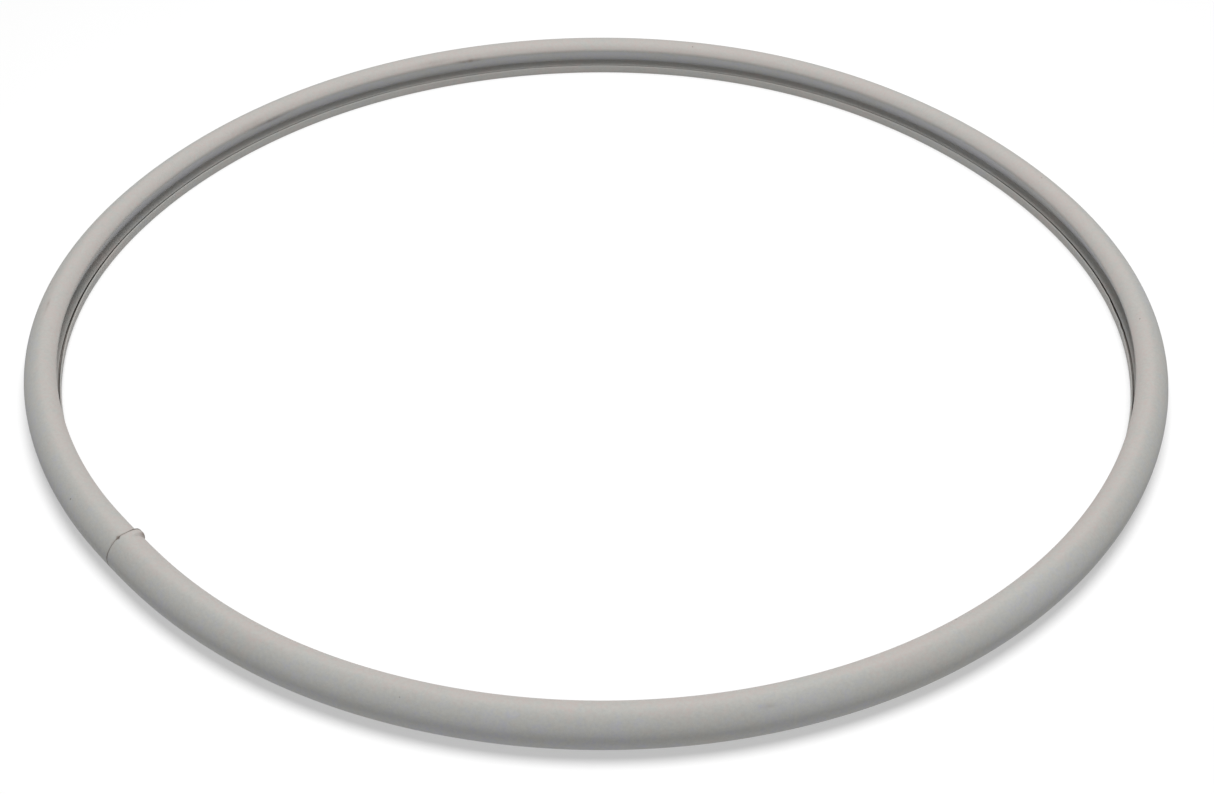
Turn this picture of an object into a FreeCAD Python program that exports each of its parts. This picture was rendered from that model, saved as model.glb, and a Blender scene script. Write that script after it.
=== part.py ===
import FreeCAD, Part
import math
import os

import Sketcher

# Elastomer sealing ring for the lid of a stovetop pressure cooker, lying flat as it does out of the lid.
# The origin is at the centre of the ring on the plane that it rests on, and +Z is the ring's own axis.
#
# The ring is one extruded strip bent round until its two cut ends face each other. Its section, from the
# outside in, is a round back with a short cylindrical seat, a crowned top, a rounded nose that overhangs a
# crease, a low wall, and a thin upright lip with a narrow slit behind it. A cured film joins the two ends
# and stands slightly proud of the crown and the nose as flash.

# ---------------------------------------------------------------------------- driving dimensions, mm, deg
DIMENSIONS = [
    ("outer_radius", 117.0, "radius of the cylindrical seat round the back"),
    ("foot_radius", 4.0, "rounding from the underside to the seat"),
    ("seat_height", 0.8, "height of the cylindrical seat"),
    ("shoulder_radius", 2.4, "rounding above the seat"),
    ("crown_height", 8.4, "top of the section above the underside"),
    ("crown_inset", 3.8, "from the seat in to the top of the crown"),
    ("crown_outer_radius", 2.7, "crown's rounding on the outer side"),
    ("crown_inner_radius", 3.2, "crown's rounding on the inner side"),
    ("nose_radius", 1.0, "rounding of the nose"),
    ("nose_height", 6.35, "height of the nose's centre of curvature"),
    ("crease_inset", 5.15, "from the seat in to the bottom of the crease"),
    ("crease_height", 3.05, "height of the crease"),
    ("wall_foot_inset", 5.55, "from the seat in to the foot of the wall"),
    ("wall_foot_height", 2.15, "height of the foot of the wall"),
    ("ledge_height", 2.05, "height of the ledge's inner edge, at the slit"),
    ("lip_radius", 110.5, "radius of the lip's inner face"),
    ("lip_face_height", 1.8, "height of the lip's upright inner face"),
    ("lip_tip_radius", 0.14, "rounding of the lip's tip"),
    ("slit_width", 0.3, "width of the slit behind the lip"),
    ("slit_floor_height", 0.75, "height of the centre of the slit's round floor"),
    ("slit_lean", 16.0, "lean of the slit outwards as it goes down"),
    ("seam_azimuth", 221.8, "where the two cut ends meet, from +X towards +Y"),
    ("bond_angle", 0.13, "angle that the cured film takes up, 0.26 mm at the crown"),
    ("flash_height", 0.25, "how far the film stands proud of the crown and the nose"),
]

START, END, CENTRE = 1, 2, 3      # Sketcher's numbers for a curve's points
AXES = -1                         # Sketcher's number for the horizontal axis, whose point 1 is the origin

# Where the solver starts from, in degrees counter-clockwise from straight out. The joins settle the rest.
SLOPE_NORMAL = 47.0
NOSE_FROM = 148.0
NOSE_TO = 208.0


def size(name):
    """The expression that reads one cell of the sheet."""
    return "Dimensions." + name


def make_sheet(doc):
    """Put every driving dimension in the sheet, one row each: name, value and what it is."""
    sheet = doc.addObject("Spreadsheet::Sheet", "Dimensions")
    for row, (name, value, meaning) in enumerate(DIMENSIONS, start=1):
        sheet.set("A%d" % row, name)
        sheet.set("B%d" % row, str(value))
        sheet.set("C%d" % row, meaning)
        sheet.setAlias("B%d" % row, name)
    doc.recompute()
    return sheet


def point(x, z):
    return FreeCAD.Vector(x, z, 0)


def add_line(sketch, start, end):
    return sketch.addGeometry(Part.LineSegment(point(*start), point(*end)), False)


def add_arc(sketch, centre, radius, from_angle, to_angle):
    """A counter-clockwise arc, angles in degrees."""
    circle = Part.Circle(point(*centre), FreeCAD.Vector(0, 0, 1), radius)
    arc = Part.ArcOfCircle(circle, math.radians(from_angle), math.radians(to_angle))
    return sketch.addGeometry(arc, False)


def on_circle(centre, radius, angle):
    """The point of a circle at an angle in degrees."""
    turn = math.radians(angle)
    return (centre[0] + radius * math.cos(turn), centre[1] + radius * math.sin(turn))


def bind(sketch, kind, references, start_value, expression):
    """Add a dimension to the sketch and bind it to the sheet."""
    number = sketch.addConstraint(Sketcher.Constraint(kind, *references, start_value))
    sketch.setExpression("Constraints[%d]" % number, expression)


def join(sketch, kind, first, first_point, second, second_point):
    sketch.addConstraint(Sketcher.Constraint(kind, first, first_point, second, second_point))


def draw_section(sketch, sheet, flash):
    """Draw the strip's section, with x the distance from the ring's axis and y the height.

    The outline runs counter-clockwise from the lip's foot. The crown and the nose stand out by flash.
    """
    d = {name: getattr(sheet, name) for name, _, _ in DIMENSIONS}
    proud = d["flash_height"] if flash else 0.0
    proud_term = " + " + size("flash_height") if flash else ""

    back = d["outer_radius"]
    lean = d["slit_lean"]
    crown_top = d["crown_height"] + proud
    crown_out_radius = d["crown_outer_radius"] + proud
    crown_in_radius = d["crown_inner_radius"] + proud
    nose_radius = d["nose_radius"] + proud
    tip_radius = d["lip_tip_radius"]
    slit_half = d["slit_width"] / 2

    # Centres of the arcs, from the underside round to the lip
    foot_centre = (back - d["foot_radius"], d["foot_radius"])
    seat_high = d["foot_radius"] + d["seat_height"]
    shoulder_centre = (back - d["shoulder_radius"], seat_high)
    crown_x = back - d["crown_inset"]
    crown_out_centre = (crown_x, crown_top - crown_out_radius)
    crown_in_centre = (crown_x, crown_top - crown_in_radius)
    nose_drop = crown_in_centre[1] - d["nose_height"]
    nose_reach = math.sqrt((crown_in_radius - nose_radius) ** 2 - nose_drop ** 2)
    nose_centre = (crown_x - nose_reach, d["nose_height"])
    tip_centre = (d["lip_radius"] + tip_radius, d["lip_face_height"])
    slit_depth = d["lip_face_height"] - d["slit_floor_height"]
    slit_x = tip_centre[0] + tip_radius + slit_half + slit_depth * math.tan(math.radians(lean))
    slit_centre = (slit_x, d["slit_floor_height"])

    # The sharp corners
    lip_foot = (d["lip_radius"], 0.0)
    crease = (back - d["crease_inset"], d["crease_height"])
    wall_foot = (back - d["wall_foot_inset"], d["wall_foot_height"])
    ledge_edge = (d["lip_radius"] + 2 * tip_radius + d["slit_width"], d["ledge_height"])

    # The curves in order, placed near their final places for the solver
    underside = add_line(sketch, lip_foot, (foot_centre[0], 0))
    foot = add_arc(sketch, foot_centre, d["foot_radius"], 270, 360)
    seat = add_line(sketch, (back, foot_centre[1]), (back, seat_high))
    shoulder = add_arc(sketch, shoulder_centre, d["shoulder_radius"], 0, SLOPE_NORMAL)
    slope_low = on_circle(shoulder_centre, d["shoulder_radius"], SLOPE_NORMAL)
    slope = add_line(sketch, slope_low, on_circle(crown_out_centre, crown_out_radius, SLOPE_NORMAL))
    crown_out = add_arc(sketch, crown_out_centre, crown_out_radius, SLOPE_NORMAL, 90)
    crown_in = add_arc(sketch, crown_in_centre, crown_in_radius, 90, NOSE_FROM)
    nose = add_arc(sketch, nose_centre, nose_radius, NOSE_FROM, NOSE_TO)
    underface = add_line(sketch, on_circle(nose_centre, nose_radius, NOSE_TO), crease)
    wall = add_line(sketch, crease, wall_foot)
    ledge = add_line(sketch, wall_foot, ledge_edge)
    slit_outer = add_line(sketch, ledge_edge, on_circle(slit_centre, slit_half, lean))
    slit_floor = add_arc(sketch, slit_centre, slit_half, 180 + lean, 360 + lean)
    slit_foot = on_circle(slit_centre, slit_half, 180 + lean)
    slit_inner = add_line(sketch, slit_foot, on_circle(tip_centre, tip_radius, lean))
    tip = add_arc(sketch, tip_centre, tip_radius, lean, 180)
    lip_face = add_line(sketch, (lip_foot[0], tip_centre[1]), lip_foot)

    # How the curves meet
    join(sketch, "Tangent", underside, END, foot, START)
    join(sketch, "Tangent", foot, END, seat, START)
    join(sketch, "Tangent", seat, END, shoulder, START)
    join(sketch, "Tangent", shoulder, END, slope, START)
    join(sketch, "Tangent", slope, END, crown_out, START)
    join(sketch, "Tangent", crown_out, END, crown_in, START)
    join(sketch, "Tangent", crown_in, END, nose, START)
    join(sketch, "Tangent", nose, END, underface, START)
    join(sketch, "Coincident", underface, END, wall, START)
    join(sketch, "Coincident", wall, END, ledge, START)
    join(sketch, "Coincident", ledge, END, slit_outer, START)
    join(sketch, "Tangent", slit_outer, END, slit_floor, END)
    join(sketch, "Tangent", slit_floor, START, slit_inner, START)
    join(sketch, "Tangent", slit_inner, END, tip, START)
    join(sketch, "Tangent", tip, END, lip_face, START)
    join(sketch, "Coincident", lip_face, END, underside, START)
    sketch.addConstraint(Sketcher.Constraint("PointOnObject", underside, START, AXES))
    sketch.addConstraint(Sketcher.Constraint("Horizontal", underside))
    sketch.addConstraint(Sketcher.Constraint("Vertical", seat))
    sketch.addConstraint(Sketcher.Constraint("Vertical", lip_face))
    sketch.addConstraint(Sketcher.Constraint("Vertical", crown_out, CENTRE, crown_out, END))

    # Sizes from the sheet
    def from_axis(curve, which, value, expression):
        bind(sketch, "DistanceX", (AXES, START, curve, which), value, expression)

    def from_base(curve, which, value, expression):
        bind(sketch, "DistanceY", (AXES, START, curve, which), value, expression)

    def radius(curve, value, expression):
        bind(sketch, "Radius", (curve,), value, expression)

    radius(foot, d["foot_radius"], size("foot_radius"))
    from_axis(seat, START, back, size("outer_radius"))
    bind(sketch, "DistanceY", (seat, START, seat, END), d["seat_height"], size("seat_height"))
    radius(shoulder, d["shoulder_radius"], size("shoulder_radius"))
    radius(crown_out, crown_out_radius, size("crown_outer_radius") + proud_term)
    radius(crown_in, crown_in_radius, size("crown_inner_radius") + proud_term)
    from_axis(crown_out, END, crown_x, size("outer_radius") + " - " + size("crown_inset"))
    from_base(crown_out, END, crown_top, size("crown_height") + proud_term)
    radius(nose, nose_radius, size("nose_radius") + proud_term)
    from_base(nose, CENTRE, d["nose_height"], size("nose_height"))
    from_axis(wall, START, crease[0], size("outer_radius") + " - " + size("crease_inset"))
    from_base(wall, START, crease[1], size("crease_height"))
    from_axis(wall, END, wall_foot[0], size("outer_radius") + " - " + size("wall_foot_inset"))
    from_base(wall, END, wall_foot[1], size("wall_foot_height"))
    from_base(ledge, END, d["ledge_height"], size("ledge_height"))
    radius(slit_floor, slit_half, size("slit_width") + " / 2")
    from_base(slit_floor, CENTRE, slit_centre[1], size("slit_floor_height"))
    bind(sketch, "Angle", (slit_inner,), math.radians(90 + lean), "90 + " + size("slit_lean"))
    bind(sketch, "Angle", (slit_outer,), math.radians(lean - 90), size("slit_lean") + " - 90")
    radius(tip, tip_radius, size("lip_tip_radius"))
    from_axis(lip_face, START, lip_foot[0], size("lip_radius"))
    from_base(lip_face, START, tip_centre[1], size("lip_face_height"))


def origin_plane(body, role):
    return next(feature for feature in body.Origin.OriginFeatures if feature.Role == role)


def make_turned_body(doc, sheet, name, flash, angle, turn):
    """Make a body by turning the section about the ring's axis, half to each side of its sketch.

    angle is how far the section is turned, and turn is where the middle of that arc lies: both are
    expressions in degrees.
    """
    body = doc.addObject("PartDesign::Body", name)
    body.Label = name
    sketch = body.newObject("Sketcher::SketchObject", name + "_section")
    sketch.AttachmentSupport = [(origin_plane(body, "XZ_Plane"), "")]
    sketch.MapMode = "FlatFace"
    doc.recompute()
    draw_section(sketch, sheet, flash)
    doc.recompute()
    revolution = body.newObject("PartDesign::Revolution", name + "_turned")
    revolution.Profile = sketch
    revolution.ReferenceAxis = (sketch, ["V_Axis"])
    revolution.Midplane = True
    revolution.setExpression("Angle", angle)
    body.Placement = FreeCAD.Placement(FreeCAD.Vector(), FreeCAD.Rotation(FreeCAD.Vector(0, 0, 1), 1))
    body.setExpression("Placement.Rotation.Angle", turn)
    doc.recompute()
    return body


def check_and_export(doc, bodies):
    """Stop on any failed object or bad shape, and then write one STEP file for each body."""
    doc.recompute()
    for item in doc.Objects:
        if "Invalid" in item.State or "Error" in item.State:
            raise RuntimeError("%s failed: %s" % (item.Name, item.State))
        if item.TypeId == "Sketcher::SketchObject" and item.FullyConstrained is False:
            raise RuntimeError("%s isn't fully constrained" % item.Name)
    os.makedirs("parts", exist_ok=True)
    for body in bodies:
        shape = body.Shape
        if shape.isNull() or not shape.isValid() or len(shape.Solids) != 1:
            raise RuntimeError("%s has no single valid solid" % body.Label)
        shape.exportStep(os.path.join("parts", body.Label + ".step"))
        box = shape.optimalBoundingBox()
        print("%s: %.1f mm3, x %.2f..%.2f, y %.2f..%.2f, z %.2f..%.2f" % (
            body.Label, shape.Volume, box.XMin, box.XMax, box.YMin, box.YMax, box.ZMin, box.ZMax))


def main():
    doc = FreeCAD.newDocument("sealing_ring")
    sheet = make_sheet(doc)
    ring = make_turned_body(
        doc, sheet, "sealing_ring", False,
        "360 - " + size("bond_angle"), size("seam_azimuth") + " - 180")
    bond = make_turned_body(
        doc, sheet, "splice_bond", True, size("bond_angle"), size("seam_azimuth"))
    check_and_export(doc, [ring, bond])


main()
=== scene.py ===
"""Visual model of an elastomer sealing ring for a stovetop pressure cooker's lid.

The ring is one extruded strip bent round and spliced. It lies on a white table under one broad soft
light. Sizes here are in millimetres until the meshes are made, which are in metres, as the frame is.
Only the studio is in metres throughout.
"""
import logging
import math
from collections.abc import Sequence
from dataclasses import dataclass
from enum import Enum

import bpy
import numpy as np
from mathutils import Matrix, Vector


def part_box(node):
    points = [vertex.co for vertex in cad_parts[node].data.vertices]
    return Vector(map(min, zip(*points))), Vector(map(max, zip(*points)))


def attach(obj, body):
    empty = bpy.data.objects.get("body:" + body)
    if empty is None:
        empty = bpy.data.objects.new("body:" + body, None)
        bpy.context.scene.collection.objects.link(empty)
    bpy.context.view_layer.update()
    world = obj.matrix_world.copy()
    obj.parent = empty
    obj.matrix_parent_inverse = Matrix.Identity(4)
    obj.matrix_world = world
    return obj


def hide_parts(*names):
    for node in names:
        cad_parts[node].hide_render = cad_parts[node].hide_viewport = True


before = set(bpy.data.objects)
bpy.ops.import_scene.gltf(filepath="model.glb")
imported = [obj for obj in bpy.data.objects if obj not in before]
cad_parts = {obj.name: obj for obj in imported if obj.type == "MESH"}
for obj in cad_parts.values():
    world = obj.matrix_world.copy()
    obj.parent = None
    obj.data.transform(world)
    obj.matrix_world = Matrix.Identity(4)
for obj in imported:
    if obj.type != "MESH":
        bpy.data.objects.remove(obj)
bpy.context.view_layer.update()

LOG = logging.getLogger("sealing_ring")
MM = 0.001
Colour = tuple[float, float, float]


class Slot(Enum):
    """The record's material slots."""

    ELASTOMER = "elastomer"
    SPLICE = "cured_splice"


# ----------------------------------------------------------------------------------------------- curves


def arc(centre: tuple[float, float], radius: float, start: float, stop: float, count: int) -> np.ndarray:
    """Points on a circular arc.

    Each point is the centre plus the radius times (cos a, sin a), with a going evenly from start to stop.

    Args:
        centre: the arc's centre, as distance from the axis and height.
        radius: the arc's radius.
        start: the first angle in degrees, anticlockwise from outwards.
        stop: the last angle in degrees; less than start for a clockwise arc.
        count: how many points, both ends included.

    Returns:
        The points, one row each.
    """
    angles = np.radians(np.linspace(start, stop, count))
    return np.array(centre) + radius * np.stack([np.cos(angles), np.sin(angles)], axis=1)


def run(start: np.ndarray, stop: np.ndarray, count: int) -> np.ndarray:
    """Points evenly spaced strictly between two ends, which belong to the curves beside the run."""
    share = np.linspace(0.0, 1.0, count + 2)[1:-1, None]
    return np.asarray(start) * (1.0 - share) + np.asarray(stop) * share


def soft_quarter(centre: tuple[float, float], across: float, up: float, slant: float,
                 count: int) -> np.ndarray:
    """A quarter turn of a smooth oval, from straight out to straight up, whose curvature never jumps.

    The oval is given by how far it reaches along each normal angle n from its centre: r = a + b cos 2n +
    c cos 4n, with a, b and c chosen to give the reaches asked for at 0, 90 and 45 degrees. The touching
    point lies at r times the normal plus the change of r with n times the tangent.

    Args:
        centre: the oval's centre.
        across: its reach straight out.
        up: its reach straight up.
        slant: its reach at 45 degrees.
        count: how many points, both ends included.

    Returns:
        The points, one row each.
    """
    angle = np.radians(np.linspace(0.0, 90.0, count))
    swing = 0.5 * (across - up)
    corner = 0.25 * (across + up) - 0.5 * slant
    mean = slant + corner
    reach = mean + swing * np.cos(2 * angle) + corner * np.cos(4 * angle)
    slope = -2 * swing * np.sin(2 * angle) - 4 * corner * np.sin(4 * angle)
    normal = np.stack([np.cos(angle), np.sin(angle)], axis=1)
    tangent = np.stack([-np.sin(angle), np.cos(angle)], axis=1)
    return np.array(centre) + reach[:, None] * normal + slope[:, None] * tangent


def rounded_corner(before: np.ndarray, corner: np.ndarray, after: np.ndarray,
                   radius: float, count: int) -> np.ndarray:
    """Points round a corner, on the arc of the given radius that touches both of its sides.

    The arc starts at the radius over the tangent of half the corner's angle from the corner itself, and
    its points are worked out as a quadratic blend of the two touching points and the corner, which for so
    small an arc can't be told from the circle.

    Args:
        before: a point on the side that comes in.
        corner: the corner.
        after: a point on the side that goes out.
        radius: the rounding.
        count: how many points, both ends included.

    Returns:
        The points, one row each.
    """
    side_in = (before - corner) / np.hypot(*(before - corner))
    side_out = (after - corner) / np.hypot(*(after - corner))
    half = 0.5 * math.acos(float(np.clip(side_in @ side_out, -1.0, 1.0)))
    reach = radius / math.tan(half)
    share = np.linspace(0.0, 1.0, count)[:, None]
    first, last = corner + reach * side_in, corner + reach * side_out
    return (1 - share) ** 2 * first + 2 * share * (1 - share) * corner + share ** 2 * last


def direction(angle: float) -> np.ndarray:
    """Unit vector at an angle in degrees."""
    return np.array([math.cos(math.radians(angle)), math.sin(math.radians(angle))])


def outward_normals(outline: np.ndarray) -> np.ndarray:
    """Unit normals of a closed anticlockwise outline.

    The tangent at a point is the sum of the unit steps from and to its neighbours, made a unit again, and
    the normal is the tangent turned a quarter clockwise.

    Args:
        outline: the outline's points, one row each.

    Returns:
        One unit normal for each point.
    """
    ahead = np.roll(outline, -1, axis=0) - outline
    behind = outline - np.roll(outline, 1, axis=0)
    tangent = ahead / np.hypot(*ahead.T)[:, None] + behind / np.hypot(*behind.T)[:, None]
    tangent /= np.hypot(*tangent.T)[:, None]
    return np.stack([tangent[:, 1], -tangent[:, 0]], axis=1)


def bump(offset: np.ndarray, reach: float) -> np.ndarray:
    """A smooth bump: e to the minus the square of the offset over the reach."""
    return np.exp(-(offset / reach) ** 2)


def distance_round(azimuth: np.ndarray, place: float, radius: float) -> np.ndarray:
    """Signed distance round the ring from a place in degrees, in millimetres, positive anticlockwise."""
    turn = (azimuth - math.radians(place) + math.pi) % math.tau - math.pi
    return turn * radius


# ---------------------------------------------------------------------------------------------- section


@dataclass(frozen=True)
class Spot:
    """A soft round spot on the strip's section: its middle from the nose's centre, and its reach."""

    outwards: float
    up: float
    reach: float


@dataclass(frozen=True)
class StripSection:
    """Section of the extruded strip: x is the distance from the ring's axis and y the height.

    An inset is measured inwards from the back, the outermost line of the strip.
    """

    back: float
    height: float
    foot_radius: float = 4.0
    seat_height: float = 0.8
    crown_inset: float = 3.8
    slant_reach: float = 3.67
    crown_inner_radius: float = 3.2
    nose_radius: float = 1.0
    nose_height: float = 6.35
    crease_inset: float = 4.8
    crease_height: float = 2.85
    crease_radius: float = 0.07
    wall_foot_inset: float = 5.55
    wall_foot_height: float = 2.05
    ledge_height: float = 1.95
    lip_inset: float = 6.5
    lip_face_height: float = 1.8
    lip_tip_radius: float = 0.17
    lip_lean: float = 0.22
    slit_width: float = 0.3
    slit_floor_height: float = 0.6
    slit_lean: float = 16.0
    corner_radius: float = 0.12

    @property
    def crown_x(self) -> float:
        """Distance of the crown's highest line from the axis."""
        return self.back - self.crown_inset

    @property
    def lip_x(self) -> float:
        """Distance of the lip's foot from the axis."""
        return self.back - self.lip_inset

    def nose_centre(self) -> tuple[float, float]:
        """Centre of the nose's rounding, which touches the crown's inner rounding from inside.

        Returns:
            The centre, as distance from the axis and height.
        """
        drop = self.height - self.crown_inner_radius - self.nose_height
        reach = self.crown_inner_radius - self.nose_radius
        return self.crown_x - math.sqrt(reach ** 2 - drop ** 2), self.nose_height

    def near_nose(self, outline: np.ndarray, spot: Spot) -> np.ndarray:
        """Share that falls off round a spot near the nose: a bump of the distance from its middle.

        Args:
            outline: the section's points.
            spot: the spot, at whose reach the share has fallen to a little over a third.

        Returns:
            One share from 0 to 1 for each point.
        """
        nose = self.nose_centre()
        away = np.hypot(outline[:, 0] - nose[0] - spot.outwards, outline[:, 1] - nose[1] - spot.up)
        return bump(away, spot.reach)

    def outline(self) -> np.ndarray:
        """The closed outline, anticlockwise from the lip's foot.

        It is arcs joined by straight runs: underside, foot, back, crown, nose, the underface down to the
        crease, the wall, the ledge, the slit, and the lip.

        Returns:
            The points, one row each.
        """
        crown_inner = (self.crown_x, self.height - self.crown_inner_radius)
        seat_middle = self.foot_radius + 0.5 * self.seat_height
        nose = self.nose_centre()
        turn = math.degrees(math.atan2(nose[1] - crown_inner[1], nose[0] - crown_inner[0]))
        crease = np.array([self.back - self.crease_inset, self.crease_height])
        to_crease = crease - nose
        leave = math.degrees(math.atan2(to_crease[1], to_crease[0])
                             - math.acos(self.nose_radius / np.hypot(*to_crease))) % 360.0
        nose_end = np.array(nose) + self.nose_radius * direction(leave)
        wall_foot = np.array([self.back - self.wall_foot_inset, self.wall_foot_height])
        down = np.array([math.sin(math.radians(self.slit_lean)), -math.cos(math.radians(self.slit_lean))])
        over = np.array([-down[1], down[0]])
        tip = (self.lip_x - self.lip_lean + self.lip_tip_radius, self.lip_face_height)
        tip_edge = np.array(tip) + self.lip_tip_radius * over
        slit_foot = tip_edge + (self.lip_face_height - self.slit_floor_height) / -down[1] * down
        slit_floor = slit_foot + 0.5 * self.slit_width * over
        slit_far = slit_foot + self.slit_width * over
        ledge = slit_far - down * ((self.ledge_height - slit_far[1]) / -down[1])
        lip_foot = np.array([self.lip_x, 0.0])
        lip_top = np.array([self.lip_x, self.lip_face_height])
        lip_edge = np.array([self.lip_x - self.lip_lean, self.lip_face_height])
        foot_start = np.array([self.back - self.foot_radius, 0.0])

        pieces = [
            rounded_corner(lip_top, lip_foot, foot_start, self.corner_radius, 4),
            run(lip_foot, foot_start, 3),
            arc((foot_start[0], self.foot_radius), self.foot_radius, 270, 360, 14),
            soft_quarter((self.crown_x, seat_middle), self.crown_inset, self.height - seat_middle,
                         self.slant_reach, 21),
            arc(crown_inner, self.crown_inner_radius, 90, turn, 11)[1:],
            arc(nose, self.nose_radius, turn, leave, 11)[1:],
            run(nose_end, crease, 5),
            rounded_corner(nose_end, crease, wall_foot, self.crease_radius, 5),
            rounded_corner(crease, wall_foot, ledge, self.corner_radius, 4),
            rounded_corner(wall_foot, ledge, slit_far, self.corner_radius, 4),
            run(ledge, slit_far, 3),
            arc(tuple(slit_floor), 0.5 * self.slit_width, self.slit_lean, self.slit_lean - 180.0, 5),
            run(slit_foot, tip_edge, 3),
            arc(tip, self.lip_tip_radius, self.slit_lean, 180, 7),
            run(lip_edge, lip_foot, 4),
        ]
        return np.concatenate(pieces)


# ------------------------------------------------------------------------------------------ lie and joint


@dataclass(frozen=True)
class Lobe:
    """One slow swell of the ring's outline: it repeats order times round, and peaks at peak degrees."""

    order: int
    height: float
    peak: float


@dataclass(frozen=True)
class Lie:
    """How the soft ring lies on the table: nearly round, and a little fuller to the left and the right."""

    lobes: tuple[Lobe, ...] = (
        Lobe(2, 0.20, 102.0),
        Lobe(3, 0.38, 65.0),
        Lobe(4, 0.49, -2.0),
        Lobe(5, 0.11, -17.0),
        Lobe(6, 0.18, 5.0),
    )

    def swell(self, azimuth: np.ndarray) -> np.ndarray:
        """How far the ring stands out of round: the sum of each lobe's height times its cosine.

        Args:
            azimuth: angles in radians.

        Returns:
            The outward shift in millimetres at each angle.
        """
        terms = [lobe.height * np.cos(lobe.order * (azimuth - math.radians(lobe.peak)))
                 for lobe in self.lobes]
        return np.sum(terms, axis=0)


@dataclass(frozen=True)
class Kink:
    """One soft bend of the strip: its place round the ring from the joint, its reach, and its shift."""

    place: float
    reach: float
    outwards: float


@dataclass(frozen=True)
class Splice:
    """Where the strip's two ends meet, and the shape of the joint.

    The ends were pressed together, so the strip is set in a little there and is fuller on its inner
    side, and the end that lies anticlockwise stands proud over the nose in a short rounded lobe.
    """

    azimuth: float = 221.8
    half_gap: float = 0.05
    end_rounding: float = 0.10
    end_rounding_start: float = 2.2
    lobe_height: float = 0.68
    lobe_length: float = 1.5
    lobe_spot: Spot = Spot(-0.35, 0.7, 1.35)
    lobe_rim_spot: Spot = Spot(-0.85, 0.35, 0.5)
    fullness: float = 0.24
    fullness_reach: float = 20.0
    fullness_spot: Spot = Spot(-1.0, 0.0, 1.6)
    nick_outset: float = 0.95
    nick_depth: float = 0.25
    nick_half_width: float = 0.5
    nick_half_length: float = 0.6
    nick_floor_share: float = 0.8
    kinks: tuple[Kink, ...] = (Kink(0.0, 11.0, -0.22), Kink(43.0, 24.0, 0.20))

    def distance(self, azimuth: np.ndarray, radius: float) -> np.ndarray:
        """Signed distance round the ring from the joint, in millimetres, positive anticlockwise."""
        return distance_round(azimuth, self.azimuth, radius)

    def kink(self, azimuth: np.ndarray, radius: float) -> np.ndarray:
        """Outward shift of the strip near the joint: the sum of a bump for each kink."""
        away = self.distance(azimuth, radius)
        return np.sum([kink.outwards * bump(away - kink.place, kink.reach) for kink in self.kinks], axis=0)

    def lobe_share(self, section: StripSection, outline: np.ndarray) -> np.ndarray:
        """Where on the section the lobe stands: over the nose."""
        return section.near_nose(outline, self.lobe_spot)

    def full_share(self, section: StripSection, outline: np.ndarray) -> np.ndarray:
        """Where on the section the strip is fuller near the joint: on its inner side."""
        return section.near_nose(outline, self.fullness_spot)

    def nick(self, section: StripSection, away: np.ndarray, outline: np.ndarray) -> np.ndarray:
        """Depth of the small nick in the crown at the joint.

        It is a diamond: full in its middle, less by the distance across over half its width and by the
        distance along over half its length, and none low down on the section.

        Args:
            section: the strip's section.
            away: signed distances round the ring from the joint, as a column.
            outline: the section's points.

        Returns:
            The shift along the normal, at most 0, one row for each distance.
        """
        over = np.abs(outline[:, 0] - section.crown_x - self.nick_outset)[None] / self.nick_half_width
        across = over + np.abs(away) / self.nick_half_length
        on_top = (outline[:, 1] > self.nick_floor_share * section.height)[None]
        return np.where(on_top, -self.nick_depth * np.clip(1.0 - across, 0.0, 1.0), 0.0)


@dataclass(frozen=True)
class Ripple:
    """A smooth random wave round the ring: a seed, its lowest and highest order, and how fast it tames."""

    seed: int
    lowest: int
    highest: int
    calm: float

    def wave(self, azimuth: np.ndarray) -> np.ndarray:
        """The wave, with a root mean square of one.

        It is a sum of cosines, one for each order, with seeded random phases and with heights that fall
        as the order to the minus calm.

        Args:
            azimuth: angles in radians.

        Returns:
            The wave's value at each angle.
        """
        rng = np.random.default_rng(self.seed)
        numbers = np.arange(self.lowest, self.highest + 1, dtype=float)
        phases = rng.uniform(0.0, math.tau, len(numbers))
        heights = numbers ** -self.calm
        wave = (heights[:, None] * np.cos(numbers[:, None] * azimuth[None] + phases[:, None])).sum(axis=0)
        return wave / math.sqrt(0.5 * float((heights ** 2).sum()))


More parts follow.
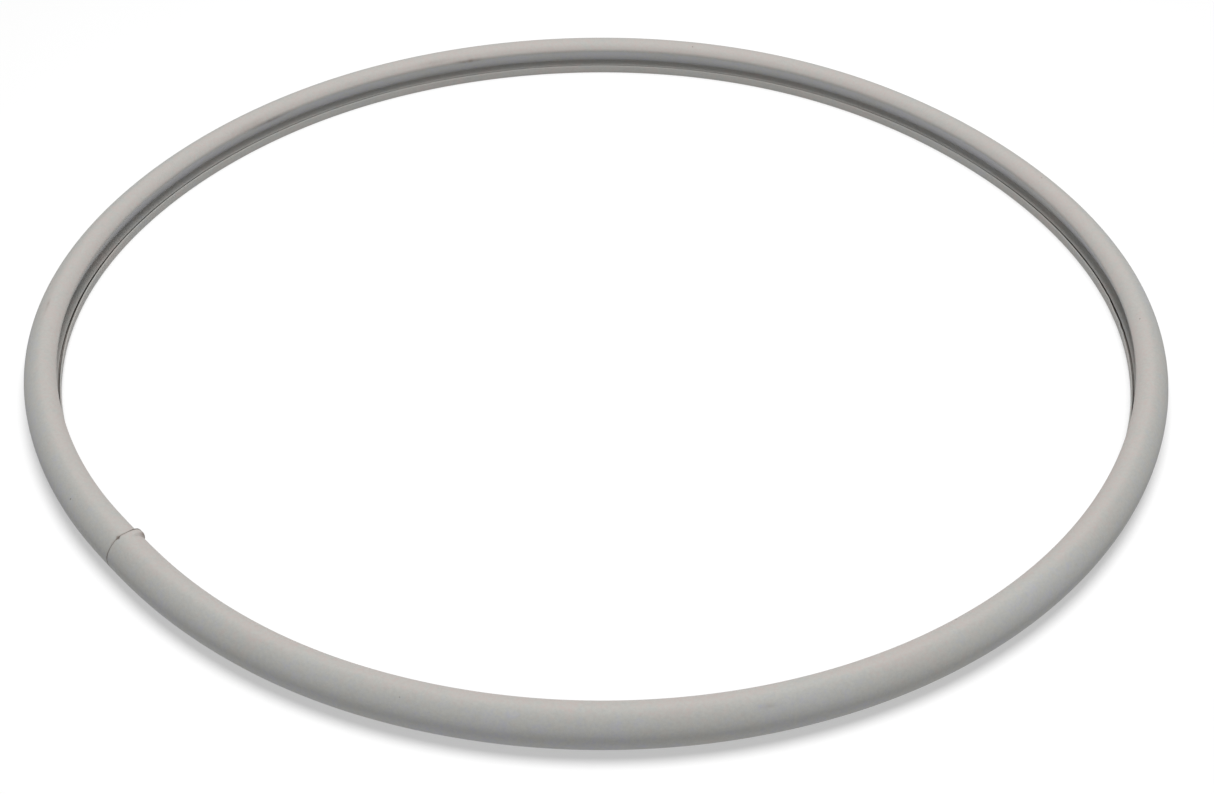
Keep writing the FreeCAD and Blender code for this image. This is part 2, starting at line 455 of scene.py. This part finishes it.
@dataclass(frozen=True)
class LipLie:
    """How the thin lip strays from a true circle: it wavers all the way round, lies closer to the ledge
    at the back, and gapes at the sides."""

    thickness: float = 0.45
    root_fade: float = 0.1
    waver: float = 0.035
    slow: Ripple = Ripple(11, 4, 39, 0.6)
    quick: Ripple = Ripple(12, 60, 239, 0.2)
    gusts: Ripple = Ripple(13, 3, 13, 0.3)
    quick_share: float = 0.6
    closing: float = 0.13
    back_gain: float = 1.4
    gape_reach: float = 0.14
    gape_turn: float = 3.0

    def on_lip(self, section: StripSection, outline: np.ndarray) -> np.ndarray:
        """Share of the shift that each point of the section takes: the square of its height up the lip.

        Args:
            section: the strip's section.
            outline: the section's points.

        Returns:
            One share for each point, 1 at the lip's tip and 0 off the lip.
        """
        thin = np.clip((section.lip_x + self.thickness - outline[:, 0]) / self.root_fade, 0.0, 1.0)
        rise = np.clip(outline[:, 1] / section.lip_face_height, 0.0, 1.0) ** 2
        return thin * rise * (outline[:, 1] < section.crease_height)

    def shift(self, section: StripSection, azimuth: np.ndarray, outline: np.ndarray) -> np.ndarray:
        """Outward shift of the lip.

        It is the closing, which grows with the sine of the angle towards the back and is taken away in a
        bump of that sine at each side, plus the waver, a slow ripple and a quick one that comes in gusts.

        Args:
            section: the strip's section.
            azimuth: angles of the stations in radians.
            outline: the section's points.

        Returns:
            The shift in millimetres, one row for each station.
        """
        quick = self.quick.wave(azimuth) * np.clip(self.gusts.wave(azimuth), 0, 2)
        at_back = np.clip(self.back_gain * np.sin(azimuth), 0.0, 1.0)
        turned = azimuth + math.radians(self.gape_turn) * np.sign(np.cos(azimuth))
        closed = self.closing * (at_back - bump(np.sin(turned), self.gape_reach))
        strays = closed + self.waver * (self.slow.wave(azimuth) + self.quick_share * quick)
        return strays[:, None] * self.on_lip(section, outline)[None]


# --------------------------------------------------------------------------------------- painted light colour, stains and painted shade


def painted_light_tint(outline: np.ndarray, normals: np.ndarray, section: StripSection) -> np.ndarray:
    """Painted light colour at each point of the section, from -1 (bluish, shade) to 1 (pinkish, light).

    It follows the way the surface faces, from the foot over the crown to the nose's underface, as painted
    light and shade: bluish in shade low on the back, plain on the slope, pinkish on the crown that faces
    the light, and bluish again in the shade under the nose. Below the crease it is faintly pinkish.

    Args:
        outline: the section's points.
        normals: their outward normals.
        section: the strip's section.

    Returns:
        One value of painted light colour for each point.
    """
    facing = np.degrees(np.arctan2(normals[:, 1], normals[:, 0])) % 360.0
    facing = np.where(facing > 270.0, facing - 360.0, facing)
    # Painted light colour: warm where the surface faces up into the light, cool where it faces sideways and
    # down into shade.
    painted_light_and_tone = np.interp(facing, (-60.0, 0.0, 30.0, 62.0, 95.0, 165.0, 195.0, 215.0),
                     (-0.35, -0.4, -0.2, 0.1, 0.7, 0.9, -0.1, -1.0))
    inside = outline[:, 0] < section.back - section.crease_inset
    return np.where(inside & (outline[:, 1] < section.crease_height), 0.25, painted_light_and_tone)


@dataclass(frozen=True)
class Smear:
    """One faint smear: its angle round the ring, its place on the section, its reach along and across
    the strip, and how strong it is."""

    azimuth: float
    length: float
    place: tuple[float, float]
    width: float
    strength: float

    def shade(self, azimuth: np.ndarray, outline: np.ndarray, radius: float) -> np.ndarray:
        """How dark the smear is: a long bump round the ring times a short one across the section.

        Args:
            azimuth: angles of the stations in radians.
            outline: the section's points.
            radius: where distances round the ring are measured.

        Returns:
            One row for each station and one column for each point of the section.
        """
        along = distance_round(azimuth, self.azimuth, radius)
        across = np.hypot(outline[:, 0] - self.place[0], outline[:, 1] - self.place[1])
        return self.strength * bump(along, self.length)[:, None] * bump(across, self.width)[None]


@dataclass(frozen=True)
class DirtAndShade:
    """Darkening on the ring: real smears and the dark joint, painted shade with some dirt down the slit,
    and darker along the lobe's rim and in the nick.
    """

    smears: tuple[Smear, ...] = (
        Smear(137.5, 4.6, (110.5, 5.9), 0.5, 0.75),
        Smear(141.0, 6.0, (111.0, 6.9), 0.6, 0.35),
        Smear(108.2, 3.0, (110.4, 6.3), 0.5, 0.75),
        Smear(112.5, 4.0, (110.9, 7.3), 0.6, 0.3),
        Smear(183.1, 1.5, (113.6, 8.3), 0.25, 0.6),
        Smear(284.0, 1.2, (115.2, 7.4), 0.3, 0.35),
    )
    rim: float = 1.1
    rim_overrun: float = 0.1
    rim_fade: float = 0.2
    joint: float = 0.35
    joint_reach: float = 0.25
    nick: float = 4.0
    # How dark the slit is made: painted shade with some dirt, darker the deeper down.
    slit: float = 0.6
    slit_span: tuple[float, float] = (0.1, 1.3)
    slit_bottom: float = 0.3
    slit_overrun: float = 0.05
    slit_fade: float = 0.25

    def in_slit(self, section: StripSection, outline: np.ndarray) -> np.ndarray:
        """How far down the slit each point of the section lies.

        It rises from 0 just above the lip's tip to 1 a fade's height lower, between the lip and the
        ledge, and the underside has none.

        Args:
            section: the strip's section.
            outline: the section's points.

        Returns:
            One share from 0 to 1 for each point.
        """
        across, up = outline.T
        near, far = section.lip_x + self.slit_span[0], section.lip_x + self.slit_span[1]
        between = (across > near) & (across < far) & (up > self.slit_bottom)
        top = section.lip_face_height + self.slit_overrun
        return between * np.clip((top - up) / self.slit_fade, 0.0, 1.0)

    def shade(self, section: StripSection, splice: Splice, azimuth: np.ndarray,
              outline: np.ndarray) -> np.ndarray:
        """How dark the surface is made: smears, the dark joint, the lobe's rim, the nick and painted shade
        down the slit, summed and held at 1.

        Args:
            section: the strip's section.
            splice: the joint.
            azimuth: angles of the stations in radians.
            outline: the section's points.

        Returns:
            From 0 to 1, one row for each station and one column for each point of the section.
        """
        total = np.zeros((len(azimuth), len(outline)))
        for smear in self.smears:
            total += smear.shade(azimuth, outline, section.back)
        away = splice.distance(azimuth, section.back)[:, None]
        rim = self.rim * section.near_nose(outline, splice.lobe_rim_spot)
        left = (splice.lobe_length + self.rim_overrun - away) / self.rim_fade
        on_lobe = (away > 0.0) * np.clip(left, 0.0, 1.0)
        # The dark joint, and darker along the lobe's rim.
        total += self.joint * bump(away, self.joint_reach) + on_lobe * rim
        # Darker in the nick, by its depth.
        total += self.nick * np.abs(splice.nick(section, away, outline)) / splice.nick_depth
        # Painted shade with some dirt: darker the deeper down the slit.
        total += self.slit * self.in_slit(section, outline)[None]
        return np.clip(total, 0.0, 1.0)


# ---------------------------------------------------------------------------------------------- meshes


def make_mesh(name: str, points: np.ndarray, faces: list[tuple[int, ...]]) -> bpy.types.Object:
    """Make a smooth-shaded mesh object at the origin.

    Args:
        name: the object's name.
        points: vertex places in millimetres, one row each.
        faces: vertex numbers of each face.

    Returns:
        The new object, linked to the scene.
    """
    mesh = bpy.data.meshes.new(name)
    mesh.from_pydata((points * MM).tolist(), [], faces)
    mesh.polygons.foreach_set("use_smooth", np.ones(len(mesh.polygons), dtype=bool))
    mesh.update()
    mesh.validate()
    item = bpy.data.objects.new(name, mesh)
    bpy.context.scene.collection.objects.link(item)
    return item


def add_attribute(item: bpy.types.Object, name: str, values: np.ndarray) -> None:
    """Store one number for each vertex, for the material to read."""
    layer = item.data.attributes.new(name, "FLOAT", "POINT")
    layer.data.foreach_set("value", np.ascontiguousarray(values, dtype=np.float32))


def carry(outline: np.ndarray, shift: np.ndarray, swell: float | np.ndarray,
          angle: np.ndarray) -> np.ndarray:
    """Carry the section round the ring's axis.

    A point is ((x + s) cos a, (x + s) sin a, y), where (x, y) is the section's point moved along its
    normal by the shift, s the swell and a the angle. No point goes below the table.

    Args:
        outline: the section's points.
        shift: how far out along the normal, one row for each station, one column for each point.
        swell: how far out from the axis, the same for all points or one number for each.
        angle: angles in radians, one row for each station, and one column or one for each point.

    Returns:
        The points, by station, by point of the section, and by x, y and z.
    """
    normals = outward_normals(outline)
    reach = outline[None, :, 0] + normals[None, :, 0] * shift + swell
    height = np.maximum(outline[None, :, 1] + normals[None, :, 1] * shift, 0.0)
    return np.stack([reach * np.cos(angle), reach * np.sin(angle), height], axis=2)


def tube_faces(rows: int, columns: int) -> list[tuple[int, ...]]:
    """Faces of a tube of closed loops, with a cap on its first and its last loop.

    A vertex's number is its row times columns plus its column. A quad runs from a row to the next and
    from a column to the one before, so that it faces outwards where the loops run anticlockwise.

    Args:
        rows: how many loops.
        columns: how many vertices in a loop.

    Returns:
        Vertex numbers of each face.
    """
    row = np.arange(rows - 1)[:, None]
    column = np.arange(columns)[None, :]
    after = (column + 1) % columns
    corners = [(row + 1) * columns + column, (row + 1) * columns + after,
               row * columns + after, row * columns + column]
    quads = np.stack([corner.ravel() for corner in corners], axis=1).tolist()
    last = rows * columns - 1
    return quads + [tuple(range(columns)), tuple(range(last, last - columns, -1))]


@dataclass(frozen=True)
class SealingRing:
    """The extruded strip, swept round from one cut end to the other."""

    section: StripSection
    lie: Lie
    splice: Splice
    lip: LipLie = LipLie()
    dirt_and_shade_marks: DirtAndShade = DirtAndShade()
    stations: int = 700
    end_stations: int = 26
    end_steps: tuple[float, float] = (0.02, 0.6)

    def azimuths(self) -> np.ndarray:
        """Angles of the stations, evenly spaced, and crowded towards both cut ends.

        The steps grow geometrically from the first of end_steps at a cut to the second.

        Returns:
            The angles in radians, from one cut end to the other.
        """
        middle_radius = self.section.crown_x
        start = math.radians(self.splice.azimuth) + self.splice.half_gap / middle_radius
        stop = start + math.tau - 2 * self.splice.half_gap / middle_radius
        crowd = np.cumsum(np.geomspace(*self.end_steps, self.end_stations)) / middle_radius
        even = np.linspace(start + crowd[-1], stop - crowd[-1], self.stations)
        return np.concatenate([[start], start + crowd[:-1], even, (stop - crowd[:-1])[::-1], [stop]])

    def shifts(self, azimuth: np.ndarray, outline: np.ndarray) -> np.ndarray:
        """How far each point stands out along the section's normal, in millimetres.

        It is the sum of the rounded ends, which fall back as a quarter circle does towards the cut, the
        lobe on the nose at the joint, the fuller inner side near it, and the nick in the crown. Where f
        is the share of its length that is left, the lobe is the root of f times the square of 1.5 - f / 2.

        Args:
            azimuth: angles of the stations in radians.
            outline: the section's points.

        Returns:
            One row for each station and one column for each point of the section.
        """
        splice = self.splice
        away = splice.distance(azimuth, self.section.crown_x)[:, None]
        inward = np.clip(1.0 - (np.abs(away) - splice.half_gap) / splice.end_rounding, 0.0, 1.0)
        rounding = -splice.end_rounding * (1.0 - np.sqrt(1.0 - inward ** 2))
        above = np.clip(outline[:, 1] - splice.end_rounding_start, 0.0, 1.0)[None]
        left = np.clip(1.0 - away / splice.lobe_length, 0.0, 1.0)
        lobe = np.where(away > 0, splice.lobe_height * np.sqrt(left) * (1.5 - 0.5 * left) ** 2, 0.0)
        full = splice.fullness * bump(away, splice.fullness_reach)
        on_nose = splice.lobe_share(self.section, outline)[None]
        on_inner = splice.full_share(self.section, outline)[None]
        nick = splice.nick(self.section, away, outline)
        return rounding * above + lobe * on_nose + full * on_inner + nick

    def build(self) -> bpy.types.Object:
        """Carry the section round with its shifts, the ring's swell and the lip's, and close both ends.

        Returns:
            The strip, with its stains, painted slit shade and painted light colour as attributes.
        """
        outline = self.section.outline()
        azimuth = self.azimuths()
        kink = self.splice.kink(azimuth, self.section.back)
        lip = self.lip.shift(self.section, azimuth, outline)
        swell = (self.lie.swell(azimuth) + kink)[:, None] + lip
        points = carry(outline, self.shifts(azimuth, outline), swell, azimuth[:, None])
        rows, columns = points.shape[:2]
        item = make_mesh("sealing_ring_strip", points.reshape(-1, 3), tube_faces(rows, columns))
        # Smears and the dark joint, painted shade down the slit, and a darker lobe rim and nick.
        dirt_and_shade = self.dirt_and_shade_marks.shade(self.section, self.splice, azimuth, outline)
        add_attribute(item, "dirt_and_shade", dirt_and_shade.ravel())
        # Painted light colour, by which way each point of the section faces.
        painted_light_and_tone = painted_light_tint(outline, outward_normals(outline), self.section)
        add_attribute(item, "painted_light_and_tone", np.broadcast_to(painted_light_and_tone, (rows, columns)).ravel())
        return item


@dataclass(frozen=True)
class SpliceBond:
    """The cured film between the two ends, seen as a fine bead of flash round the section."""

    section: StripSection
    lie: Lie
    splice: Splice
    flash_height: float = 0.015
    flash_half_width: float = 0.10
    narrowest: float = 0.6
    widening: float = 0.9
    top_share: float = 0.6
    rim_drops: tuple[float, ...] = (0.08, 0.04, 0.0, 0.0, 0.04, 0.08)
    film_share: float = 0.8
    over_lobe: float = 0.05
    foot_height: float = 1.2
    foot_sink: float = 0.03
    nick_reach: float = 0.35
    nick_sink: float = 0.2
    nick_bottom: float = 7.0
    faintest: float = 0.12
    lobe_stain: float = 1.4
    nick_stain_reach: float = 0.5
    back_stain_top: float = 7.4
    back_stain_fade: float = 2.2

    def proud(self, outline: np.ndarray) -> np.ndarray:
        """How far the bead stands out: over the lobe on the nose, nearly flush elsewhere, and sunk at the
        nick and at the foot.

        Args:
            outline: the section's points.

        Returns:
            The shift in millimetres along the normal at each point.
        """
        splice = self.splice
        low = np.clip(1.0 - outline[:, 1] / self.foot_height, 0.0, 1.0)
        past_nick = outline[:, 0] - self.section.crown_x - splice.nick_outset
        at_nick = bump(past_nick, self.nick_reach) * (outline[:, 1] > self.nick_bottom)
        lobe = (splice.lobe_height + self.over_lobe) * splice.lobe_share(self.section, outline)
        full = splice.fullness * splice.full_share(self.section, outline)
        return self.flash_height + lobe + full - self.foot_sink * low - self.nick_sink * at_nick

    def darkness(self, outline: np.ndarray) -> np.ndarray:
        """How dark the film shows: on the lobe, at the nick and low on the back, and faint between.

        Args:
            outline: the section's points.

        Returns:
            From 0 to 1 at each point.
        """
        past_nick = outline[:, 0] - self.section.crown_x - self.splice.nick_outset
        at_nick = bump(past_nick, self.nick_stain_reach)
        low = np.clip((self.back_stain_top - outline[:, 1]) / self.back_stain_fade, 0.0, 1.0)
        on_lobe = self.lobe_stain * self.splice.lobe_share(self.section, outline)
        return np.clip(self.faintest + on_lobe + at_nick + low, 0.0, 1.0)

    def build(self) -> bpy.types.Object:
        """Make a wafer of the section's shape, with a rim that stands on the surface across the joint.

        Each row is the section's outline moved along its normals and a little round the ring: first the
        wafer's near side between the two ends, then the rim's four edges, then the far side. Both
        sides are closed.

        Returns:
            The film, with its darkness as an attribute.
        """
        outline = self.section.outline()
        angle = math.radians(self.splice.azimuth)
        here = np.array([angle])
        swell = float(self.lie.swell(here)[0] + self.splice.kink(here, self.section.back)[0])
        dark = self.darkness(outline)
        wide = self.flash_half_width * (self.narrowest + self.widening * dark)
        top = self.top_share * wide
        film = np.full(len(outline), self.film_share * self.splice.half_gap)
        aside = np.stack([-film, -wide, -top, top, wide, film])
        shift = self.proud(outline) - np.array(self.rim_drops)[:, None]
        points = carry(outline, shift, swell, angle + aside / self.section.back)
        rows, columns = points.shape[:2]
        item = make_mesh("splice_bond_flash", points.reshape(-1, 3), tube_faces(rows, columns))
        add_attribute(item, "cure", np.broadcast_to(dark, (rows, columns)).ravel())
        return item


# ------------------------------------------------------------------------------------------- finishes


@dataclass(frozen=True)
class Grain:
    """A noise with features about size millimetres across, and the stretch of its values that counts."""

    size: float
    detail: float
    rough: float = 0.5
    low: float = 0.35
    high: float = 0.65


class Nodes:
    """A thin wrapper that adds nodes to a material and links them."""

    def __init__(self, material: bpy.types.Material) -> None:
        """Start from an empty node tree with a surface shader and its output.

        Args:
            material: the material to build.
        """
        material.use_nodes = True
        self.tree = material.node_tree
        self.tree.nodes.clear()
        output = self.add("ShaderNodeOutputMaterial")
        self.shader = self.add("ShaderNodeBsdfPrincipled")
        self.link(self.shader.outputs["BSDF"], output.inputs["Surface"])

    def add(self, kind: str, **settings: object) -> bpy.types.Node:
        """Add a node and set its properties.

        Args:
            kind: the node's type.
            settings: the properties' values by name.

        Returns:
            The new node.
        """
        node = self.tree.nodes.new(kind)
        for name, value in settings.items():
            setattr(node, name, value)
        return node

    def link(self, source: bpy.types.NodeSocket, target: bpy.types.NodeSocket) -> None:
        """Link two sockets."""
        self.tree.links.new(source, target)

    def attribute(self, name: str) -> bpy.types.NodeSocket:
        """The number that the mesh stores under a name."""
        return self.add("ShaderNodeAttribute", attribute_name=name).outputs["Fac"]

    def noise(self, grain: Grain) -> bpy.types.NodeSocket:
        """Noise on the object's own coordinates.

        Args:
            grain: its size and kind.

        Returns:
            The socket of its value.
        """
        where = self.add("ShaderNodeTexCoord")
        node = self.add("ShaderNodeTexNoise", noise_dimensions="3D")
        node.inputs["Scale"].default_value = 1.0 / (grain.size * MM)
        node.inputs["Detail"].default_value = grain.detail
        node.inputs["Roughness"].default_value = grain.rough
        self.link(where.outputs["Object"], node.inputs["Vector"])
        return node.outputs["Fac"]

    def ramp(self, source: bpy.types.NodeSocket, low: float, high: float,
             start: float = 0.0, stop: float = 1.0) -> bpy.types.NodeSocket:
        """Stretch a value from low..high to start..stop, held at the ends.

        Args:
            source: the value.
            low: the value that becomes start.
            high: the value that becomes stop.
            start: the result at and past low.
            stop: the result at and past high.

        Returns:
            The socket of the result.
        """
        node = self.add("ShaderNodeMapRange", clamp=True)
        for name, value in (("From Min", low), ("From Max", high), ("To Min", start), ("To Max", stop)):
            node.inputs[name].default_value = value
        self.link(source, node.inputs["Value"])
        return node.outputs["Result"]

    def pattern(self, grain: Grain, start: float, stop: float) -> bpy.types.NodeSocket:
        """Noise whose values that count are stretched to start..stop."""
        return self.ramp(self.noise(grain), grain.low, grain.high, start, stop)

    def mix(self, share: bpy.types.NodeSocket, first: bpy.types.NodeSocket | Colour,
            second: bpy.types.NodeSocket | Colour) -> bpy.types.NodeSocket:
        """Blend two colours.

        Args:
            share: how much of the second, from 0 to 1.
            first: a socket or a plain colour.
            second: a socket or a plain colour.

        Returns:
            The socket of the blend.
        """
        node = self.add("ShaderNodeMix", data_type="RGBA")
        self.link(share, node.inputs[0])
        for value, socket in ((first, node.inputs[6]), (second, node.inputs[7])):
            if isinstance(value, bpy.types.NodeSocket):
                self.link(value, socket)
            else:
                socket.default_value = (*value, 1.0)
        return node.outputs[2]

    def combine(self, operation: str, first: bpy.types.NodeSocket,
                second: bpy.types.NodeSocket) -> bpy.types.NodeSocket:
        """Combine two values.

        Args:
            operation: the sum's name, such as ADD.
            first: a socket.
            second: a socket.

        Returns:
            The socket of the result.
        """
        node = self.add("ShaderNodeMath", operation=operation)
        self.link(first, node.inputs[0])
        self.link(second, node.inputs[1])
        return node.outputs[0]

    def roughen(self, height: bpy.types.NodeSocket, depth: float) -> None:
        """Roughen the shader's normal.

        Args:
            height: a height from 0 to 1.
            depth: the millimetres that a height of 1 stands for.
        """
        node = self.add("ShaderNodeBump")
        node.inputs["Strength"].default_value = 1.0
        node.inputs["Distance"].default_value = depth * MM
        self.link(height, node.inputs["Height"])
        self.link(node.outputs["Normal"], self.shader.inputs["Normal"])


@dataclass(frozen=True)
class ElastomerFinish:
    """Matt silicone rubber, light grey, with painted light colour, pinkish on the crown that faces the
    light and bluish low down and under the nose in shade, with faint mottling, a few dark specks, faint
    smears and painted shade in the slit."""

    body: Colour = (0.332, 0.334, 0.317)
    # warm and cool are the painted light colours, warm where the surface faces the light and cool in shade;
    # the random cloud and patches shift them too.
    warm: Colour = (0.380, 0.331, 0.314)
    cool: Colour = (0.331, 0.334, 0.378)
    pale: Colour = (0.369, 0.367, 0.347)
    speck: Colour = (0.10, 0.085, 0.07)
    # smear is the dark colour of smears, the joint, the lobe's rim and the nick, and of the painted shade
    # in the slit.
    smear: Colour = (0.155, 0.12, 0.10)
    cloud: Grain = Grain(16.0, 3.0, 0.5, 0.30, 0.70)
    cloud_swing: float = 0.45
    patch: Grain = Grain(1.8, 4.0, 0.75, 0.32, 0.68)
    patch_swing: float = 0.8
    mottle: Grain = Grain(0.6, 4.0, 0.75, 0.34, 0.66)
    mottle_range: tuple[float, float] = (-0.1, 1.0)
    blotch: Grain = Grain(1.6, 3.0)
    blotch_range: tuple[float, float] = (0.5, 1.0)
    grain: Grain = Grain(0.32, 2.0, 0.6, 0.3, 0.7)
    grain_depth: float = 0.03
    roughness: float = 0.6
    roughness_swing: float = 0.06
    specular: float = 0.15
    speck_spacing: float = 3.4
    speck_rarity: tuple[float, float] = (0.80, 0.82)
    speck_edge: tuple[float, float] = (0.03, 0.06)
    speck_strength: float = 0.75

    def make(self) -> bpy.types.Material:
        """Build the material: painted light colour and random tone first, then mottling, specks, stains
        with painted slit shade, and the fine grain.

        Returns:
            The material.
        """
        material = bpy.data.materials.new("grey_silicone_rubber")
        nodes = Nodes(material)
        # Painted light colour by facing, then random cloud and patch tone added to it.
        painted_light_and_tone = nodes.attribute("painted_light_and_tone")
        cloud = nodes.pattern(self.cloud, -self.cloud_swing, self.cloud_swing)
        patch = nodes.pattern(self.patch, -self.patch_swing, self.patch_swing)
        painted_light_and_tone = nodes.combine("ADD", nodes.combine("ADD", painted_light_and_tone, cloud), patch)
        colour = nodes.mix(nodes.ramp(painted_light_and_tone, 0.0, 1.0), self.body, self.warm)
        colour = nodes.mix(nodes.ramp(painted_light_and_tone, 0.0, -1.0), colour, self.cool)
        colour = nodes.mix(nodes.pattern(self.mottle, *self.mottle_range), colour, self.pale)
        colour = nodes.mix(self.specks(nodes), colour, self.speck)
        blotch = nodes.pattern(self.blotch, *self.blotch_range)
        # Darkened by smears, the joint, the lobe's rim, the nick and the painted shade down the slit.
        colour = nodes.mix(nodes.combine("MULTIPLY", nodes.attribute("dirt_and_shade"), blotch), colour, self.smear)
        nodes.link(colour, nodes.shader.inputs["Base Color"])
        grain = nodes.noise(self.grain)
        rough = nodes.ramp(grain, self.grain.low, self.grain.high,
                           self.roughness - self.roughness_swing, self.roughness + self.roughness_swing)
        nodes.link(rough, nodes.shader.inputs["Roughness"])
        nodes.shader.inputs["Specular IOR Level"].default_value = self.specular
        nodes.roughen(grain, self.grain_depth)
        return material

    def specks(self, nodes: Nodes) -> bpy.types.NodeSocket:
        """Sparse round specks: near the middles of a few of the cells that fill space.

        Args:
            nodes: the material's nodes.

        Returns:
            The socket of how dark the specks are, from 0 to 1.
        """
        where = nodes.add("ShaderNodeTexCoord")
        cells = nodes.add("ShaderNodeTexVoronoi", voronoi_dimensions="3D", feature="F1")
        cells.inputs["Scale"].default_value = 1.0 / (self.speck_spacing * MM)
        nodes.link(where.outputs["Object"], cells.inputs["Vector"])
        chosen = nodes.add("ShaderNodeSeparateColor")
        nodes.link(cells.outputs["Color"], chosen.inputs["Color"])
        few = nodes.ramp(chosen.outputs["Red"], *self.speck_rarity)
        near = nodes.ramp(cells.outputs["Distance"], *self.speck_edge, self.speck_strength, 0.0)
        return nodes.combine("MULTIPLY", near, few)


@dataclass(frozen=True)
class SpliceFinish:
    """Cured splice film: faint where it is thin, dark brown-grey where it is thick."""

    faint: Colour = (0.27, 0.255, 0.235)
    dark: Colour = (0.07, 0.055, 0.045)
    breaks: Grain = Grain(0.9, 3.0)
    breaks_range: tuple[float, float] = (0.75, 1.0)
    grain: Grain = Grain(0.25, 2.0)
    grain_depth: float = 0.02
    roughness: float = 0.55
    specular: float = 0.35

    def make(self) -> bpy.types.Material:
        """Build the material, dark by the film's cure and a little broken up.

        Returns:
            The material.
        """
        material = bpy.data.materials.new("cured_splice_film")
        nodes = Nodes(material)
        broken = nodes.pattern(self.breaks, *self.breaks_range)
        share = nodes.combine("MULTIPLY", nodes.attribute("cure"), broken)
        nodes.link(nodes.mix(share, self.faint, self.dark), nodes.shader.inputs["Base Color"])
        nodes.shader.inputs["Roughness"].default_value = self.roughness
        nodes.shader.inputs["Specular IOR Level"].default_value = self.specular
        nodes.roughen(nodes.noise(self.grain), self.grain_depth)
        return material


# --------------------------------------------------------------------------------------------- studio


@dataclass(frozen=True)
class Studio:
    """White table, one soft round light overhead, a dim even sky, and the camera.

    Places and sizes are in metres, angles in degrees, and the lens and its sensor in millimetres.
    """

    table_width: float = 30.0
    table_grey: float = 0.43
    table_glow: float = 0.42
    light_place: tuple[float, float, float] = (0.03, 0.02, 0.80)
    light_size: float = 0.5
    light_power: float = 8.4
    sky_strength: float = 0.25
    camera_height_angle: float = 38.97
    camera_distance: float = 0.351
    camera_roll: float = 0.437
    camera_clip: tuple[float, float] = (0.01, 100.0)
    lens: float = 51.48
    sensor_width: float = 36.0
    aim: tuple[float, float, float] = (0.00191, -0.02469, 0.0)

    def build_table(self) -> None:
        """A large pale plane that the ring lies on, lit from within a little, as a light table is."""
        half = 0.5 * self.table_width / MM
        corners = np.array([[-half, -half, 0.0], [half, -half, 0.0], [half, half, 0.0], [-half, half, 0.0]])
        table = make_mesh("table", corners, [(0, 1, 2, 3)])
        material = bpy.data.materials.new("white_table")
        nodes = Nodes(material)
        grey = self.table_grey
        nodes.shader.inputs["Base Color"].default_value = (grey, grey, grey, 1.0)
        nodes.shader.inputs["Roughness"].default_value = 1.0
        nodes.shader.inputs["Specular IOR Level"].default_value = 0.0
        nodes.shader.inputs["Emission Color"].default_value = (1.0, 1.0, 1.0, 1.0)
        nodes.shader.inputs["Emission Strength"].default_value = self.table_glow
        table.data.materials.append(material)

    def build_lights(self) -> None:
        """The soft light, aimed at the middle of the ring, and a dim even sky."""
        data = bpy.data.lights.new("soft_light", "AREA")
        data.shape = "DISK"
        data.size = self.light_size
        data.energy = self.light_power
        place = Vector(self.light_place)
        lamp = bpy.data.objects.new("soft_light", data)
        lamp.matrix_world = Matrix.Translation(place) @ place.to_track_quat("Z", "Y").to_matrix().to_4x4()
        bpy.context.scene.collection.objects.link(lamp)
        world = bpy.data.worlds.new("dim_sky")
        world.use_nodes = True
        sky = world.node_tree.nodes["Background"]
        sky.inputs["Color"].default_value = (1.0, 1.0, 1.0, 1.0)
        sky.inputs["Strength"].default_value = self.sky_strength
        bpy.context.scene.world = world

    def build_camera(self) -> None:
        """The camera looks along +Y and down, with a slight roll, at a point just before the middle."""
        rise, roll = math.radians(self.camera_height_angle), math.radians(self.camera_roll)
        back = Vector((0.0, -math.cos(rise), math.sin(rise)))
        right = Vector((1.0, 0.0, 0.0))
        up = back.cross(right)
        side = math.cos(roll) * right + math.sin(roll) * up
        top = back.cross(side)
        data = bpy.data.cameras.new("camera")
        data.sensor_width = self.sensor_width
        data.lens = self.lens
        data.clip_start, data.clip_end = self.camera_clip
        camera = bpy.data.objects.new("camera", data)
        place = Vector(self.aim) + self.camera_distance * back
        turn = Matrix((side, top, back)).transposed()
        camera.matrix_world = Matrix.Translation(place) @ turn.to_4x4()
        bpy.context.scene.collection.objects.link(camera)
        bpy.context.scene.camera = camera
        bpy.context.scene.view_settings.view_transform = "Standard"
        bpy.context.scene.view_settings.look = "None"


# ------------------------------------------------------------------------------------------------ main


def dress(item: bpy.types.Object, material: bpy.types.Material, node: str) -> None:
    """Give a piece its material and its body, and say what it stands for.

    Args:
        item: the piece.
        material: its material.
        node: the CAD node that it stands for.
    """
    item.data.materials.append(material)
    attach(item, "root")
    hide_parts(node)
    LOG.info("%s: %d faces for %s", item.name, len(item.data.polygons), node)


def main() -> None:
    """Build the studio, the ring and its splice."""
    logging.basicConfig(level=logging.INFO, format="%(name)s: %(message)s")
    studio = Studio()
    studio.build_camera()
    studio.build_table()
    studio.build_lights()

    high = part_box("sealing_ring")[1]
    section = StripSection(back=high[0] / MM, height=high[2] / MM)
    lie, splice = Lie(), Splice()
    ring = SealingRing(section, lie, splice)
    dress(ring.build(), ElastomerFinish().make(), "sealing_ring")
    bond = SpliceBond(section, lie, splice)
    dress(bond.build(), SpliceFinish().make(), "splice_bond")


if __name__ == "__main__":
    main()
